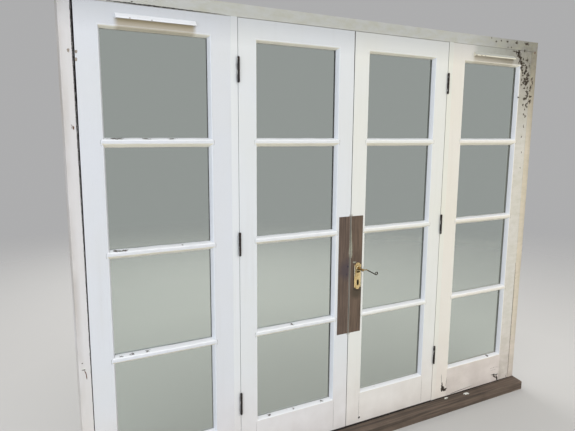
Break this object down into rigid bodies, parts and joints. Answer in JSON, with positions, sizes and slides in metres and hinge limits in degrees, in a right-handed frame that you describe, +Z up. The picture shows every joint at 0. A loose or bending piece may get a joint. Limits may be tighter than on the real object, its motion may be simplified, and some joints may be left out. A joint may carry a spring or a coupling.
{
  "type": "french doors",
  "caption": "Pair of outward-opening glazed timber french doors between fixed sidelights, in a painted frame on a hardwood sill, with lever lock, bolts and trickle ventilators.",
  "frame": {"origin": "middle of the sill's underside, in the plane of the frame's outside face", "axes": "+X along the frame to the right seen from outside, +Y into the wall towards the room, +Z up"},
  "size_m": [2.545, 0.166, 2.095],
  "materials": {
    "painted_timber": "white exterior gloss paint, weathered",
    "weathered_hardwood": "bare, grey-brown and weathered",
    "bare_hardwood": "bare, grey-brown and weathered",
    "glass": "clear float glass",
    "rusty_iron": "dark, rusted and part painted over",
    "brass": "polished, dulled by weather",
    "lock_steel": "plain",
    "bolt_steel": "satin",
    "white_plastic": "white, weathered"
  },
  "bodies": {
    "frame": {"bolt_keeps": "lock_steel", "frame_hinge_flaps": "rusty_iron", "head": "painted_timber", "hinge_pins": "rusty_iron", "left_jamb": "painted_timber", "left_mullion": "painted_timber", "left_sidelight_bars": "painted_timber", "left_sidelight_beads": "painted_timber", "left_sidelight_bottom_rail": "painted_timber", "left_sidelight_glass": "glass", "left_sidelight_inner_stile": "painted_timber", "left_sidelight_outer_stile": "painted_timber", "left_sidelight_top_rail": "painted_timber", "left_vent_cover": "white_plastic", "left_vent_hood": "white_plastic", "right_jamb": "painted_timber", "right_mullion": "painted_timber", "right_sidelight_bars": "painted_timber", "right_sidelight_beads": "painted_timber", "right_sidelight_bottom_rail": "painted_timber", "right_sidelight_glass": "glass", "right_sidelight_inner_stile": "painted_timber", "right_sidelight_outer_stile": "painted_timber", "right_sidelight_top_rail": "painted_timber", "right_vent_cover": "white_plastic", "right_vent_hood": "white_plastic", "sill": "weathered_hardwood"},
    "left_leaf": {"bolt_guides": "bolt_steel", "left_leaf_bars": "painted_timber", "left_leaf_beads": "painted_timber", "left_leaf_bottom_rail": "painted_timber", "left_leaf_glass": "glass", "left_leaf_hinge_flaps": "rusty_iron", "left_leaf_hinge_stile": "painted_timber", "left_leaf_inlay": "bare_hardwood", "left_leaf_meeting_stile": "painted_timber", "left_leaf_top_rail": "painted_timber", "strike_plate": "lock_steel"},
    "right_leaf": {"inside_backplate": "brass", "lock_case": "lock_steel", "outside_backplate": "brass", "right_leaf_bars": "painted_timber", "right_leaf_beads": "painted_timber", "right_leaf_bottom_rail": "painted_timber", "right_leaf_glass": "glass", "right_leaf_hinge_flaps": "rusty_iron", "right_leaf_hinge_stile": "painted_timber", "right_leaf_inlay": "bare_hardwood", "right_leaf_meeting_stile": "painted_timber", "right_leaf_top_rail": "painted_timber"},
    "lever_set": {"outside_lever": "brass", "inside_lever": "brass", "spindle": "lock_steel", "lock_follower": "lock_steel"},
    "latch": {"latch_bolt": "lock_steel"},
    "dead_bolt_slide": {"dead_bolt": "lock_steel"},
    "top_bolt": {"top_bolt_rod": "bolt_steel"},
    "bottom_bolt": {"bottom_bolt_rod": "bolt_steel"},
    "left_shutter": {"left_vent_shutter": "white_plastic"},
    "right_shutter": {"right_vent_shutter": "white_plastic"}
  },
  "joints": [
    {"name": "left_leaf_swing", "type": "hinge", "parent": "frame", "child": "left_leaf", "pos_m": [-0.5895, -0.006, 1.088], "axis": [0, 0, -1], "range_deg": [0, 160]},
    {"name": "right_leaf_swing", "type": "hinge", "parent": "frame", "child": "right_leaf", "pos_m": [0.5895, -0.006, 1.088], "axis": [0, 0, 1], "range_deg": [0, 160]},
    {"name": "lever_turn", "type": "hinge", "parent": "right_leaf", "child": "lever_set", "pos_m": [0.0485, 0, 0.905], "axis": [0, 1, 0], "range_deg": [0, 40], "stiffness_Nm_per_rad": 1.5, "springref_deg": -17.19},
    {"name": "latch_throw", "type": "slide", "parent": "right_leaf", "child": "latch", "axis": [-1, 0, 0], "range_m": [0, 0.01]},
    {"name": "dead_bolt_throw", "type": "slide", "parent": "right_leaf", "child": "dead_bolt_slide", "axis": [-1, 0, 0], "range_m": [0, 0.015]},
    {"name": "top_bolt_throw", "type": "slide", "parent": "left_leaf", "child": "top_bolt", "axis": [0, 0, 1], "range_m": [0, 0.018]},
    {"name": "bottom_bolt_throw", "type": "slide", "parent": "left_leaf", "child": "bottom_bolt", "axis": [0, 0, -1], "range_m": [0, 0.018]},
    {"name": "left_shutter_slide", "type": "slide", "parent": "frame", "child": "left_shutter", "axis": [-1, 0, 0], "range_m": [0, 0.024]},
    {"name": "right_shutter_slide", "type": "slide", "parent": "frame", "child": "right_shutter", "axis": [1, 0, 0], "range_m": [0, 0.024]}
  ]
}
